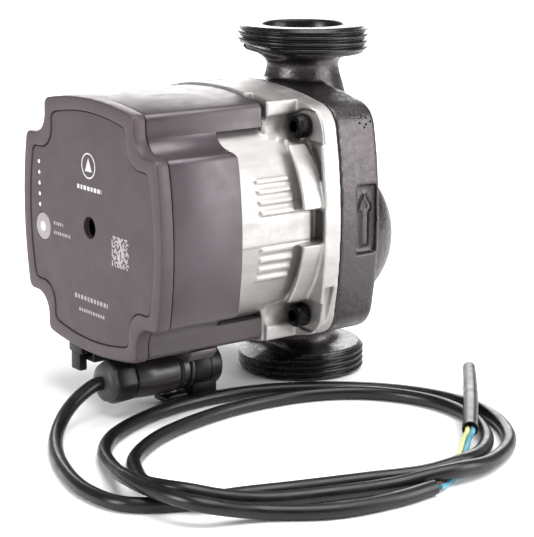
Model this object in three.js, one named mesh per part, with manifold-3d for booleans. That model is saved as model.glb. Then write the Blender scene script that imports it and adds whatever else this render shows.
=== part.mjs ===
// Wet-rotor circulator pump: cast iron pump housing with two threaded ports, aluminium stator
// housing, control box with a front cover, and a flying lead that lies in loops on the floor.
// Millimetres, +Z up. The origin is on the floor under the middle of the pump. The shaft runs
// along Y with the control box in front at -Y, and the water flows along +Z.
import * as THREE from 'three';
import { mergeVertices } from 'three/addons/utils/BufferGeometryUtils.js';
import Module from 'manifold-3d';

const wasm = await Module();
wasm.setup();

// ---- driving dimensions: everything but the lead is drawn from the crossing of shaft and port axes
const PORT_TO_PORT = 130;
const HALF_PORT = PORT_TO_PORT / 2;
const PORT_AXIS_Y = 30;        // port axis, seen from the origin
const FACE_Y = -93;            // front face of the control box
const COVER_BACK_Y = -88;
const BOX_BACK_Y = -60;
const TONGUE_BACK_Y = -40;
const PARTING_Y = -19;         // plane between stator housing and pump housing
const RIM_BACK_Y = -1;
const GAP = 0.3;               // clearance between touching pieces

const LOBE_HALF = 29;          // half width of each lobe of the box outline
const LOBE_TIP = 42;           // where a lobe's corners lie
const LOBE_BULGE = 45;         // middle of a lobe's curved edge
const NOTCH_R = 8;
const LOBE_CORNER_R = 2.4;

const FLANGE_HALF_X = 47;
const FLANGE_HALF_Z = 45.7;
const FLANGE_SIDE_R = 170;
const FLANGE_TOP_R = 146;
const BARREL_R = 42;
const TONGUE_FLAT = 34;        // the tongues lie beyond this height above and below the shaft

const SCREW_X = 34;
const SCREW_Z = 33.8;
const SCREW_HEAD_R = 4.25;
const SCREW_R = 2.5;

const CAN_R = 19;
const SHAFT_R = 3;
const IMPELLER_R = 27;
const EYE_R = 9.5;

const THREAD_R = 23.9;         // G 1 1/2 pipe thread, outside radius
const THREAD_LENGTH = 9.7;
const PORT_BORE_R = 15;

const PLUG_X = 10;
const PLUG_Z = 12;             // height of the plug's axis over the floor
const CORD_R = 2.4;
const CORE_R = 0.7;
const CORE_PITCH = 1.65;       // the three cores lie side by side at this spacing

// ---- materials
const paint = (color, roughness, metalness = 0) =>
  new THREE.MeshStandardMaterial({ color, roughness, metalness });
const COVER_GREY = paint(0x6f696c, 0.55);
const PANEL_GREY = paint(0x696164, 0.7);
const BOX_GREY = paint(0x5d565c, 0.5);
const BLACK_PLASTIC = paint(0x1b1a1c, 0.45);
const PLUG_GREY = paint(0x3a3538, 0.5);
const LIGHT_BUTTON = paint(0xb9b4b8, 0.4);
const CLEAR_GUIDE = paint(0xe8ecee, 0.2);
const CAST_ALUMINIUM = paint(0xd3d0cb, 0.35, 0.9);
const BLACK_IRON = paint(0x18181a, 0.4, 0.3);
const BLACK_SCREW = paint(0x101012, 0.4, 0.6);
const STEEL = paint(0xb4b6b8, 0.3, 1);
const LAMINATION = paint(0x6d7074, 0.5, 0.8);
const COPPER = paint(0xb86b33, 0.4, 0.9);
const GRAPHITE = paint(0x2d2e30, 0.6);
const CERAMIC = paint(0xe9e3d6, 0.3);
const MAGNET = paint(0x3c3d40, 0.5, 0.5);
const IMPELLER_PLASTIC = paint(0x4a463f, 0.55);
const RUBBER = paint(0x121212, 0.8);
const BOARD_GREEN = paint(0x1d5a38, 0.5);
const BRASS = paint(0xc9a24a, 0.3, 1);
const CORD_BLACK = paint(0x161617, 0.35);
const CORE_BLUE = paint(0x64b4d2, 0.4);
const CORE_BROWN = paint(0x6b4226, 0.4);
const CORE_EARTH = paint(0xc3d94a, 0.4);

// ---- solids: closed three.js geometry in, manifold out, and back
function toSolid(geometry) {
  const bare = geometry.index ? geometry : geometry.clone();
  bare.deleteAttribute('normal');
  bare.deleteAttribute('uv');
  const merged = mergeVertices(bare, 1e-4);
  const position = merged.getAttribute('position');
  const faces = [];
  let volume = 0;
  const [a, b, c] = [new THREE.Vector3(), new THREE.Vector3(), new THREE.Vector3()];
  for (let i = 0; i < merged.index.count; i += 3) {
    const face = [0, 1, 2].map((k) => merged.index.getX(i + k));
    if (new Set(face).size < 3) continue;
    a.fromBufferAttribute(position, face[0]);
    b.fromBufferAttribute(position, face[1]);
    c.fromBufferAttribute(position, face[2]);
    volume += a.dot(b.cross(c));
    faces.push(face);
  }
  const triVerts = faces.flatMap(([p, q, r]) => (volume > 0 ? [p, q, r] : [p, r, q]));
  const vertProperties = new Float32Array(position.array);
  return new wasm.Manifold(new wasm.Mesh({
    numProp: 3,
    vertProperties,
    triVerts: new Uint32Array(triVerts),
  }));
}

function toGeometry(solid) {
  const { vertProperties, triVerts } = solid.getMesh();
  const geometry = new THREE.BufferGeometry();
  geometry.setAttribute('position', new THREE.BufferAttribute(vertProperties, 3));
  geometry.setIndex(new THREE.BufferAttribute(triVerts, 1));
  return geometry;
}

const join = (first, ...others) => others.reduce((sum, solid) => sum.add(solid), first);
const cut = (first, ...others) => others.reduce((rest, solid) => rest.subtract(solid), first);

function shapeOf(points) {
  return new THREE.Shape(points.map(([x, z]) => new THREE.Vector2(x, z)));
}

// an outline in X and Z, pushed along Y
function prismY(shape, y0, y1, curveSegments = 12) {
  const geometry = new THREE.ExtrudeGeometry(shape, { depth: y1 - y0, bevelEnabled: false, curveSegments });
  return toSolid(geometry.rotateX(Math.PI / 2).translate(0, y1, 0));
}

// a profile of [radius, along] turned about the Y line through x, z
function latheY(profile, segments, x = 0, z = 0) {
  const points = profile.map(([r, y]) => new THREE.Vector2(r, y));
  return toSolid(new THREE.LatheGeometry(points, segments).translate(x, 0, z));
}

// the same about the Z line through the origin
function latheZ(profile, segments) {
  const points = profile.map(([r, z]) => new THREE.Vector2(r, z));
  return toSolid(new THREE.LatheGeometry(points, segments).rotateX(Math.PI / 2));
}

function rodY(r, y0, y1, x = 0, z = 0, segments = 16) {
  return latheY([[0, y0], [r, y0], [r, y1], [0, y1]], segments, x, z);
}

function tubeY(rIn, rOut, y0, y1, x = 0, z = 0, segments = 32) {
  return latheY([[rIn, y0], [rOut, y0], [rOut, y1], [rIn, y1], [rIn, y0]], segments, x, z);
}

function block([x0, x1], [y0, y1], [z0, z1]) {
  const geometry = new THREE.BoxGeometry(x1 - x0, y1 - y0, z1 - z0);
  return toSolid(geometry.translate((x0 + x1) / 2, (y0 + y1) / 2, (z0 + z1) / 2));
}

function sweep(points, radius, sides, steps) {
  const path = new THREE.CatmullRomCurve3(points.map((p) => new THREE.Vector3(...p)), false, 'centripetal');
  const ring = [];
  for (let i = 0; i < sides; i += 1) {
    const angle = (2 * Math.PI * i) / sides;
    ring.push([radius * Math.cos(angle), radius * Math.sin(angle)]);
  }
  return toSolid(new THREE.ExtrudeGeometry(shapeOf(ring), { steps, bevelEnabled: false, extrudePath: path }));
}

// ---- groups: `body` has its origin where the shaft and port axes cross, `floor` stands on the floor
const pump = new THREE.Group();
const body = new THREE.Group();
body.position.set(0, PORT_AXIS_Y, HALF_PORT);
const floor = new THREE.Group();
floor.position.set(0, PORT_AXIS_Y, 0);
pump.add(body, floor);

function add(group, name, solid, material, position = [0, 0, 0], turnY = 0) {
  const mesh = new THREE.Mesh(toGeometry(solid), material);
  mesh.name = name;
  mesh.position.set(...position);
  mesh.rotation.y = turnY;
  group.add(mesh);
}

function arc(cx, cz, r, from, to, steps) {
  const points = [];
  for (let i = 0; i <= steps; i += 1) {
    const angle = THREE.MathUtils.degToRad(from + ((to - from) * i) / steps);
    points.push([cx + r * Math.cos(angle), cz + r * Math.sin(angle)]);
  }
  return points;
}

const mirrored = (points) => points.map(([x, z]) => [z, x]).reverse();
const turned = (points) => points.map(([x, z]) => [z, -x]);

// ---- outlines
// four lobes with bulged edges and a round notch at each corner, clockwise from the top
function crossOutline(inset = 0) {
  const half = LOBE_HALF - inset;
  const rise = LOBE_BULGE - LOBE_TIP;
  const bulgeR = (rise * rise + half * half) / (2 * rise);
  const edgeAt = (x) => LOBE_BULGE - inset - bulgeR + Math.sqrt(bulgeR * bulgeR - x * x);
  const corner = LOBE_CORNER_R;
  const eighth = [0, 0.5].map((t) => [half * t, edgeAt(half * t)]);
  eighth.push([half - corner, edgeAt(half - corner)]);
  eighth.push([half - 0.3 * corner, edgeAt(half) - 0.25 * corner]);
  eighth.push([half, edgeAt(half) - corner]);
  const notch = arc(half + NOTCH_R, half + NOTCH_R, NOTCH_R, 180, 270, 4);
  const quarter = [...eighth, ...notch, ...mirrored(eighth).slice(0, -1)];
  const whole = [];
  let piece = quarter;
  for (let i = 0; i < 4; i += 1) {
    whole.push(...piece);
    piece = turned(piece);
  }
  return shapeOf(whole);
}

// the nearly square flange shared by the stator housing and the pump housing
function flangeOutline(inset = 0) {
  const topAt = (x) => FLANGE_HALF_Z - inset - (x * x) / (2 * FLANGE_TOP_R);
  const sideAt = (z) => FLANGE_HALF_X - inset - (z * z) / (2 * FLANGE_SIDE_R);
  const cornerX = 36 - inset;
  const cornerZ = 33.5 - inset;
  const tip = [sideAt(40), topAt(42)];
  const corner = new THREE.QuadraticBezierCurve(
    new THREE.Vector2(cornerX, topAt(cornerX)),
    new THREE.Vector2(...tip),
    new THREE.Vector2(sideAt(cornerZ), cornerZ),
  );
  const quarter = [0.33, 0.67].map((t) => [cornerX * t, topAt(cornerX * t)]);
  quarter.push(...corner.getPoints(4).map((p) => [p.x, p.y]));
  quarter.push([sideAt(cornerZ * 0.5), cornerZ * 0.5]);
  const flipX = quarter.map(([x, z]) => [-x, z]).reverse();
  const flipZ = quarter.map(([x, z]) => [x, -z]).reverse();
  const flipBoth = quarter.map(([x, z]) => [-x, -z]);
  return shapeOf([
    [0, topAt(0)], ...quarter, [sideAt(0), 0], ...flipZ,
    [0, -topAt(0)], ...flipBoth, [-sideAt(0), 0], ...flipX,
  ]);
}

// ---- control box front: cover, printed panel, light guide and button
const PANEL_INSET = 4.6;
const RECESS_Y = FACE_Y + 1.4;
const WALL_BACK_Y = FACE_Y + 2.6;
const HOLE_R = 3.9;
const BUTTON = { x: -31.4, z: -4.6, r: 5 };
const LIGHTS = { x: -33.8, z: [18.6, 14.7, 10.8, 6.9, 3], r: 0.8 };
const DEBLOCK_FACE_Y = -88;

function panelHoles(y0, y1, slack) {
  const lights = LIGHTS.z.map((z) => rodY(LIGHTS.r + slack, y0, y1, LIGHTS.x, z, 8));
  const button = rodY(BUTTON.r + slack, y0, y1, BUTTON.x, BUTTON.z, 20);
  const centre = rodY(HOLE_R, y0, y1, 0, 0, 20);
  return [centre, button, ...lights];
}

function controlCover() {
  const plate = prismY(crossOutline(), FACE_Y, COVER_BACK_Y);
  const recess = prismY(crossOutline(PANEL_INSET), FACE_Y - 1, RECESS_Y);
  const hollow = prismY(crossOutline(3), WALL_BACK_Y, COVER_BACK_Y + 1);
  const boss = rodY(6, WALL_BACK_Y - 0.5, -84, 0, 0, 20);
  return cut(join(cut(plate, recess, hollow), boss), ...panelHoles(FACE_Y - 1, -83, 0.3));
}

function frontPanel() {
  const sheet = prismY(crossOutline(PANEL_INSET + 0.4), RECESS_Y - 0.9, RECESS_Y - GAP);
  return cut(sheet, ...panelHoles(FACE_Y - 1, COVER_BACK_Y, 0.3));
}

function lightGuide() {
  const pins = LIGHTS.z.map((z) => rodY(LIGHTS.r, RECESS_Y - 0.9, -85, LIGHTS.x, z, 8));
  const bar = block([LIGHTS.x - 1.5, LIGHTS.x + 1.5], [-87, -85], [LIGHTS.z[4] - 1.5, LIGHTS.z[0] + 1.5]);
  return join(bar, ...pins);
}

function modeButton() {
  const cap = rodY(BUTTON.r, FACE_Y + 0.2, WALL_BACK_Y + GAP + 0.5, BUTTON.x, BUTTON.z, 20);
  const lip = rodY(BUTTON.r + 0.9, WALL_BACK_Y + GAP, WALL_BACK_Y + 1, BUTTON.x, BUTTON.z, 20);
  const stem = rodY(1.6, WALL_BACK_Y + 0.9, -86.4, BUTTON.x, BUTTON.z, 10);
  return join(cap, lip, stem);
}

// ---- control box base with the two tongues that reach over the stator housing
function controlBox() {
  const outer = prismY(crossOutline(0.2), COVER_BACK_Y + GAP, BOX_BACK_Y);
  const inner = prismY(crossOutline(2.8), COVER_BACK_Y, BOX_BACK_Y - 2.5);
  const canHole = rodY(CAN_R + 1.2, BOX_BACK_Y - 3, BOX_BACK_Y + 1, 0, 0, 32);
  const tongueBody = prismY(crossOutline(0.2), BOX_BACK_Y - 1, TONGUE_BACK_Y);
  const reach = LOBE_HALF + 1;
  const tongues = [1, -1].map((side) => {
    const span = side > 0 ? [TONGUE_FLAT, 50] : [-50, -TONGUE_FLAT];
    return tongueBody.intersect(block([-reach, reach], [BOX_BACK_Y - 1, TONGUE_BACK_Y], span));
  });
  return join(cut(outer, inner, canHole), ...tongues);
}

// ---- electronics
const BOARD_Y = -82;

function mainBoard() {
  const board = prismY(crossOutline(5), BOARD_Y - 0.8, BOARD_Y + 0.8);
  return cut(board, rodY(7, -84, -80, 0, 0, 20));
}

function lineChoke() {
  return tubeY(3.2, 8, BOARD_Y + 1.1, BOARD_Y + 8, 26, 14, 20);
}

function capacitor() {
  const profile = [[0, BOARD_Y + 1.1], [7.6, BOARD_Y + 1.1], [8, -80], [8, -66], [7.2, -65.4], [0, -65.4]];
  return latheY(profile, 24, -22, -22);
}

// the stator core is round with a flat at the top and the bottom, to clear the tongues
const CORE_OUT_R = 39;
const CORE_FLAT = 31.3;

function coreFlats(slack = 0) {
  return block([-50, 50], [-70, 0], [-CORE_FLAT - slack, CORE_FLAT + slack]);
}

// ---- stator housing: barrel, top and bottom blocks, flange, collars and cooling ribs
const RIB_ANGLES = [9, 14, 19, 24];
const COLLAR_R = 46;

function collar(middle) {
  const outerArc = arc(0, 0, COLLAR_R, middle - 18, middle + 18, 8);
  const innerArc = arc(0, 0, BARREL_R - 1, middle + 18, middle - 18, 8);
  return prismY(shapeOf([...outerArc, ...innerArc]), -34.3, -25.5);
}

function rib(angle, side) {
  const bar = new THREE.BoxGeometry(2.4, 15.8, 1.5);
  bar.translate(side * (BARREL_R + 0.1), -42.5, 0);
  bar.rotateY(THREE.MathUtils.degToRad(-side * angle));
  return toSolid(bar);
}

function screwPocket(x, z) {
  const round = rodY(6, TONGUE_BACK_Y - 2, -25, x, z, 20);
  const way = [Math.min(x, x * 1.6), Math.max(x, x * 1.6)];
  return join(round, block(way, [TONGUE_BACK_Y - 2, -25], [z - 6, z + 6]));
}

const SCREW_PLACES = [[SCREW_X, SCREW_Z], [SCREW_X, -SCREW_Z], [-SCREW_X, -SCREW_Z], [-SCREW_X, SCREW_Z]];

function statorHousing() {
  const blockFront = TONGUE_BACK_Y + GAP;
  const barrel = rodY(BARREL_R, BOX_BACK_Y + GAP, -25, 0, 0, 40);
  const tongueRoom = [1, -1].map((side) => {
    const span = side > 0 ? [TONGUE_FLAT - GAP, 60] : [-60, -TONGUE_FLAT + GAP];
    return block([-60, 60], [BOX_BACK_Y - 1, blockFront], span);
  });
  const flangeBar = prismY(flangeOutline(), blockFront, PARTING_Y);
  const blocks = flangeBar.intersect(block([-30, 30], [-50, 0], [-60, 60]));
  const plate = prismY(flangeOutline(), -26, PARTING_Y);
  const collars = [26, -26, 154, 206].map(collar);
  const ribs = [1, -1].flatMap((side) => RIB_ANGLES.flatMap((a) => [rib(a, side), rib(-a, side)]));
  const bands = [[36, 42.2], [-42.2, -36]].map((xs) => block(xs, [-56.6, -26], [-4.6, 4.8]));
  const shell = join(cut(barrel, ...tongueRoom), blocks, plate, ...collars, ...ribs, ...bands);
  const coreRoom = rodY(CORE_OUT_R + GAP, -62, -28, 0, 0, 32).intersect(coreFlats(GAP));
  const front = latheY([
    [0, -29], [CAN_R + 0.4, -29], [CAN_R + 0.4, -22.3], [36.6, -22.3],
    [36.6, PARTING_Y + 1], [0, PARTING_Y + 1],
  ], 32);
  const windows = [block([41, 48], [-28.4, -23], [-6, 5.2]), block([-48, -41], [-28.4, -23], [-6, 5.2])];
  const pockets = SCREW_PLACES.map(([x, z]) => screwPocket(x, z));
  const holes = SCREW_PLACES.map(([x, z]) => rodY(SCREW_R + GAP, -30, -10, x, z, 12));
  return cut(shell, coreRoom, front, ...windows, ...pockets, ...holes);
}

// ---- stator
const SLOTS = 6;

function statorCore() {
  const ring = rodY(CORE_OUT_R, -57, -30, 0, 0, 32).intersect(coreFlats());
  const airGap = rodY(CAN_R + 0.6, -60, -28, 0, 0, 32);
  const slots = Array.from({ length: SLOTS }, (_, i) => windingSlot((360 * (i + 0.5)) / SLOTS));
  return cut(ring, airGap, ...slots);
}

function windingSlot(middle) {
  const outer = arc(0, 0, 28, middle - 22, middle + 22, 5);
  const inner = [
    ...arc(0, 0, 21.6, middle + 20, middle + 4, 2), ...arc(0, 0, 21.6, middle - 4, middle - 20, 2),
  ];
  const opening = arc(0, 0, CAN_R, middle + 2.5, middle - 2.5, 1);
  const order = [...outer, ...inner.slice(0, 3), ...opening, ...inner.slice(3)];
  return prismY(shapeOf(order), -58, -29);
}

// a coil wound round the tooth that stands between two slots, drawn for the tooth on +X
function coil() {
  const outer = block([22.2, 26.9], [-59.3, -28.4], [-6.6, 6.6]);
  const tooth = block([20, 30], [-57 - GAP, -30 + GAP], [-4.2, 4.2]);
  return cut(outer, tooth);
}

// ---- rotor, can and bearings
function rotorCan() {
  const t = 0.7;
  return latheY([
    [2.1, -62], [CAN_R, -62], [CAN_R, -22], [36, -22], [36, -21.3], [CAN_R - t, -21.3], [CAN_R - t, -62 + t],
    [2.1, -62 + t], [2.1, -62],
  ], 32);
}

function bearingPlate() {
  return latheY([
    [6.3, -26], [8.2, -26], [8.2, -20.7], [36, -20.7], [36, -19.2], [6.3, -19.2], [6.3, -26],
  ], 32);
}

// ---- impeller: back plate with hub and vanes, and a cover disc with the eye's neck
const VANES = 6;
const VANE_Y = [-16.4, -10.5];

function vane(start) {
  const inner = [];
  const outer = [];
  for (let i = 0; i <= 4; i += 1) {
    const t = i / 4;
    const r = 10.5 + (IMPELLER_R - 10.5) * t;
    const angle = THREE.MathUtils.degToRad(start - 75 * t);
    const thick = 0.9 / r;
    inner.push([r * Math.cos(angle - thick), r * Math.sin(angle - thick)]);
    outer.push([r * Math.cos(angle + thick), r * Math.sin(angle + thick)]);
  }
  return prismY(shapeOf([...inner, ...outer.reverse()]), VANE_Y[0] - 0.3, VANE_Y[1]);
}

function impeller() {
  const plate = rodY(IMPELLER_R, -17.8, VANE_Y[0], 0, 0, 28);
  const hub = latheY([[0, -17.8], [6.5, -17.8], [6, -11], [0, -11]], 20);
  const vanes = Array.from({ length: VANES }, (_, i) => vane((360 * i) / VANES));
  return cut(join(plate, hub, ...vanes), rodY(SHAFT_R + GAP, -20, -9, 0, 0, 16));
}

function impellerCover() {
  return latheY([
    [8.9, -8.4], [9.6, -10.2], [IMPELLER_R, -10.2], [IMPELLER_R, -9.2], [9.9, -8.6], [9.9, -3.4],
    [8.9, -3.4], [8.9, -8.4],
  ], 28);
}

// ---- pump housing
function portOutside(sign) {
  const s = (z) => sign * (HALF_PORT - z);
  return latheZ([
    [0, s(0)], [22.8, s(0)], [THREAD_R, s(1.1)], [THREAD_R, s(THREAD_LENGTH)], [22.4, s(10.6)],
    [14.4, s(12.4)],
    [13.2, s(14)], [13.6, s(17)], [15.4, s(22)], [17.4, s(27)], [19, s(36)], [19, s(50)], [0, s(50)],
  ], 28);
}

function portBore(sign) {
  const s = (z) => sign * (HALF_PORT - z);
  const profile = [
    [0, s(-1)], [PORT_BORE_R, s(-1)], [PORT_BORE_R, s(3)], [10, s(16)], [9.5, s(27)], [0, s(27)],
  ];
  return latheZ(profile, 20);
}

function volute() {
  const spiral = [];
  for (let i = 0; i < 24; i += 1) {
    const turn = i / 24;
    const angle = Math.PI / 2 - 2 * Math.PI * turn;
    const r = 35 - 5 * turn;
    spiral.push([r * Math.cos(angle), r * Math.sin(angle)]);
  }
  return prismY(shapeOf(spiral), -19.5, -4.5);
}

const DOME_R = [32, 26, 30];
const DOME_CENTRE_Y = 7;
const DOME_CENTRE_Z = -13;
const ARROW_FLOOR_X = FLANGE_HALF_X - 1.7;

function domeBehind() {
  const ball = new THREE.SphereGeometry(1, 24, 14);
  ball.rotateX(Math.PI / 2).scale(DOME_R[0], DOME_R[1], DOME_R[2]);
  ball.translate(0, DOME_CENTRE_Y, DOME_CENTRE_Z);
  return toSolid(ball).intersect(block([-50, 50], [-3, 60], [-60, 60]));
}

function pumpHousing() {
  const rim = prismY(flangeOutline(), PARTING_Y + GAP, RIM_BACK_Y);
  const outside = join(rim, domeBehind(), portOutside(1), portOutside(-1));
  const inlet = sweep([[0, 0, -50], [0, 0.5, -38], [0, 9, -27], [0, 13, -14], [0, 13, -2]], 8.4, 12, 10);
  const chamber = rodY(EYE_R, -5, 19, 0, 0, 24);
  const room = block([-20, 20], [-18, 20], [20, 60]);
  const outlet = sweep([[0, 0, 50], [0, -2, 40], [0, -9, 26]], 8, 12, 6).intersect(room);
  const ringSeat = rodY(13, -5, -2.4, 0, 0, 24);
  const sealGroove = tubeY(37.3, 40.6, -20, -16.4, 0, 0, 32);
  const holes = SCREW_PLACES.map(([x, z]) => rodY(SCREW_R + GAP, -22, -5.5, x, z, 12));
  const recess = block([ARROW_FLOOR_X, 60], [-11.5, -2.5], [-12, 12.5]);
  const waterways = [portBore(1), portBore(-1), volute(), inlet, chamber, outlet];
  return join(cut(outside, ...waterways, ringSeat, sealGroove, recess, ...holes), flowArrow());
}

// the raised arrow in the recess on the +X side, pointing up
function flowArrow() {
  const x = ARROW_FLOOR_X - 0.4;
  const head = shapeOf([[-3, 4], [3, 4], [0, 9.6]]);
  const geometry = new THREE.ExtrudeGeometry(head, { depth: 1.4, bevelEnabled: false });
  geometry.rotateX(Math.PI / 2).rotateZ(Math.PI / 2);
  geometry.translate(x, -7, 0);
  const shaft = block([x, x + 1.4], [-8.1, -5.9], [-9, 4.2]);
  return join(toSolid(geometry), shaft);
}

// ---- fasteners
function housingScrew() {
  const head = rodY(SCREW_HEAD_R, -30.4, -25 - GAP, 0, 0, 16);
  const shank = rodY(SCREW_R, -26, -7, 0, 0, 12);
  const socket = rodY(2.3, -31, -28, 0, 0, 6);
  return cut(join(head, shank), socket);
}

// ---- deblocking screw behind the centre hole
function deblockScrew() {
  const screw = latheY([
    [0, DEBLOCK_FACE_Y], [3.3, DEBLOCK_FACE_Y], [3.3, -84.6], [1.7, -84.6], [1.7, -63.2], [0, -63.2],
  ], 16);
  const slot = block([-4, 4], [DEBLOCK_FACE_Y - 1, DEBLOCK_FACE_Y + 1.2], [-0.5, 0.5]);
  return cut(screw, slot);
}

// the sleeve on the front of the can: seat for the spring, and room for the seal at its rear
function deblockSleeve() {
  return latheY([
    [2, -74.6], [4.4, -74.6], [4.4, -62.3], [3.8, -62.3], [3.8, -68], [2, -68], [2, -74.6],
  ], 20);
}

function springCoil(y0, y1, radius, wire, turns) {
  const points = [];
  const count = turns * 6;
  for (let i = 0; i <= count; i += 1) {
    const angle = (2 * Math.PI * turns * i) / count;
    points.push([radius * Math.cos(angle), y0 + ((y1 - y0) * i) / count, radius * Math.sin(angle)]);
  }
  return sweep(points, wire / 2, 5, count);
}

// ---- plug and sockets under the box, drawn about the plug's own axis
function powerSocket() {
  const barrel = rodY(7.8, -60.6, -45, 0, 0, 24);
  const nose = latheY([[0, -45.5], [7.8, -45.5], [6.6, -44], [0, -44]], 24);
  const web = block([-6, 6], [-60.6, -46], [0, 8]);
  const foot = block([-5, 6], [-60.6, -46.5], [-PLUG_Z, -3]);
  const seat = rodY(6.4, -64, -53, 0, 0, 20);
  const pins = PIN_PLACES.map((x) => rodY(0.8, -54, -50.2, x, 0, 8));
  return cut(join(barrel, nose, web, foot), seat, ...pins);
}

const PIN_PLACES = [-3, 0, 3];

function plugBody() {
  const outside = latheY([
    [0, -82.6], [7.4, -82.6], [7.7, -78], [7.7, -67], [6.7, -66.6], [6.7, -65.2], [7.7, -64.8],
    [7.7, -60.9], [6, -60.9], [6, -53.4], [0, -53.4],
  ], 24);
  return cut(outside, ...PIN_PLACES.map((x) => rodY(1, -57, -53, x, 0, 8)));
}

function plugBoot() {
  return latheY([
    [0, -95], [3.6, -95], [5.6, -94], [6.6, -91.6], [6.8, -90.5], [8, -89.4], [8.5, -86],
    [8.3, -83], [0, -83],
  ], 24);
}

function plugLatch() {
  const bar = block([-4, 5], [-71, -62.4], [-11.6, -8.1]);
  const hook = block([-4, 5], [-64, -62.4], [-11.6, -8.1]);
  return join(bar, hook);
}

function signalSocket() {
  return cut(block([-7, 7], [-84, -62], [0, 8.4]), block([-5.2, 5.2], [-85, -74], [2, 7.4]));
}

function signalLatch() {
  return join(block([-4.4, 4.4], [-87.6, -76], [3, 6.4]), block([-3, 3], [-87.6, -84.4], [-3.4, 4]));
}

// ---- the lead: out of the boot, down to the floor and round in two loops to its stripped end
const F = CORD_R + 0.1;
const CORD_ROUTE = [
  [10, -95.5, 12], [10, -97.5, 12], [12, -104.8, 9.9], [15.3, -111.5, 7.3], [20.6, -118.1, 4.6],
  [31.5, -126.4, 2.6], [54.1, -136.9, F], [77.2, -142.1, F], [92.8, -139.1, F], [102.2, -126, F],
  [106.6, -107.5, F], [112.8, -88.8, F], [119.2, -67.8, F], [127, -48.6, 3.4], [129.6, -36.1, 5.1],
  [121.9, -20.3, 3.4], [108.9, -6.6, F], [88.2, 3.3, F], [68, 2.9, F], [49.5, -8, F], [39.4, -25, F],
  [35.8, -48.7, F], [38.4, -71.6, F], [47.3, -97, F], [61, -114.7, F], [74.3, -122.1, 3],
  [87, -127.6, 5], [97.8, -128.9, 7.2], [105.6, -124.6, 7.3], [110.6, -115.2, 4.8], [115.4, -101.6, F],
  [122.7, -83.3, F], [128.6, -62.3, 2.7], [132.1, -52.4, 4.2], [134.8, -42.5, 5.1], [132.3, -27.4, 3.6],
  [118.2, -4.6, F], [95.7, 9, F], [73.7, 10.6, F], [52, 0.8, F], [33, -20.8, F], [22.2, -46.7, F],
  [23.4, -78.4, F], [35.9, -106.2, F], [48.2, -117.9, F], [65.3, -126, 3.9], [87.4, -133.3, 7.4],
  [102.9, -133.5, 8], [117, -127.7, 7], [123.5, -110.6, 3], [134.6, -91.9, F], [138.1, -71, F],
  [137.3, -55.1, F],
];

// the three cores leave the cut end, pass flat under both loops and run into the loose sheath end
const CORE_ROUTE = [
  [136.9, -53.4, 2.2], [134.2, -48.6, 1], [128, -38.4, 0.9], [121.9, -30.4, 0.9],
  [118, -25.6, 1.8], [115.9, -22.7, 3.5], [115, -20.8, 5.6], [114.8, -19.4, 7.2],
];
const SLEEVE_ROUTE = [
  [113.7, -18.3, 7.8], [99.6, -4.8, 7.8], [85.7, 8.2, 7.8], [72.2, 20.5, 7.6], [58.2, 33.1, 6.6],
];

function core(side) {
  const aside = side * CORE_PITCH;
  const route = CORE_ROUTE.map(([x, y, z]) => [x + 0.8 * aside, y + 0.6 * aside, z]);
  return sweep(route, CORE_R, 8, 16);
}

// ---- assembly
add(body, 'control_cover', controlCover(), COVER_GREY);
add(body, 'front_panel', frontPanel(), PANEL_GREY);
add(body, 'light_guide', lightGuide(), CLEAR_GUIDE);
add(body, 'mode_button', modeButton(), LIGHT_BUTTON);
add(body, 'control_box', controlBox(), BOX_GREY);
add(body, 'main_board', mainBoard(), BOARD_GREEN);
add(body, 'tact_switch', block([-34.4, -28.4], [-85.8, -83.1], [-7.6, -1.6]), BLACK_PLASTIC);
add(body, 'line_choke', lineChoke(), COPPER);
add(body, 'dc_capacitor', capacitor(), GRAPHITE);
add(body, 'power_module', block([6, 24], [-80.9, -77.5], [-30, -18]), BLACK_PLASTIC);
add(body, 'deblock_screw', deblockScrew(), BRASS);
add(body, 'deblock_sleeve', deblockSleeve(), BRASS);
add(body, 'deblock_spring', springCoil(-83.9, -75.3, 2.7, 0.7, 5), STEEL);
add(body, 'deblock_seal', tubeY(1.9, 3.5, -67.6, -66, 0, 0, 16), RUBBER);

add(body, 'stator_housing', statorHousing(), CAST_ALUMINIUM);
add(body, 'stator_core', statorCore(), LAMINATION);
const coilSolid = coil();
for (let i = 0; i < SLOTS; i += 1) {
  add(body, `coil_${i + 1}`, coilSolid, COPPER, [0, 0, 0], (2 * Math.PI * i) / SLOTS);
}
add(body, 'rotor_can', rotorCan(), STEEL);
add(body, 'bearing_plate', bearingPlate(), STEEL);
add(body, 'front_bearing', tubeY(SHAFT_R + GAP, 7, -61, -57, 0, 0, 20), GRAPHITE);
add(body, 'rear_bearing', tubeY(SHAFT_R + GAP, 6, -25.8, -19.5, 0, 0, 20), GRAPHITE);
add(body, 'thrust_bearing', tubeY(SHAFT_R + GAP, 8, -28, -26.4, 0, 0, 20), CERAMIC);
add(body, 'rotor_magnet', tubeY(SHAFT_R + GAP, 17, -55, -28.6, 0, 0, 28), MAGNET);
add(body, 'shaft', rodY(SHAFT_R, -60.4, -10.6, 0, 0, 20), CERAMIC);
add(body, 'impeller', impeller(), IMPELLER_PLASTIC);
add(body, 'impeller_cover', impellerCover(), IMPELLER_PLASTIC);
add(body, 'neck_ring', tubeY(10.2, 12.7, -6.2, -2.7, 0, 0, 24), STEEL);
add(body, 'housing_seal', tubeY(37.7, 40.2, -18.7 + GAP, -16.7, 0, 0, 32), RUBBER);
add(body, 'pump_housing', pumpHousing(), BLACK_IRON);

const screwSolid = housingScrew();
SCREW_PLACES.forEach(([x, z], i) => {
  add(body, `housing_screw_${i + 1}`, screwSolid, BLACK_SCREW, [x, 0, z]);
});

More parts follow.
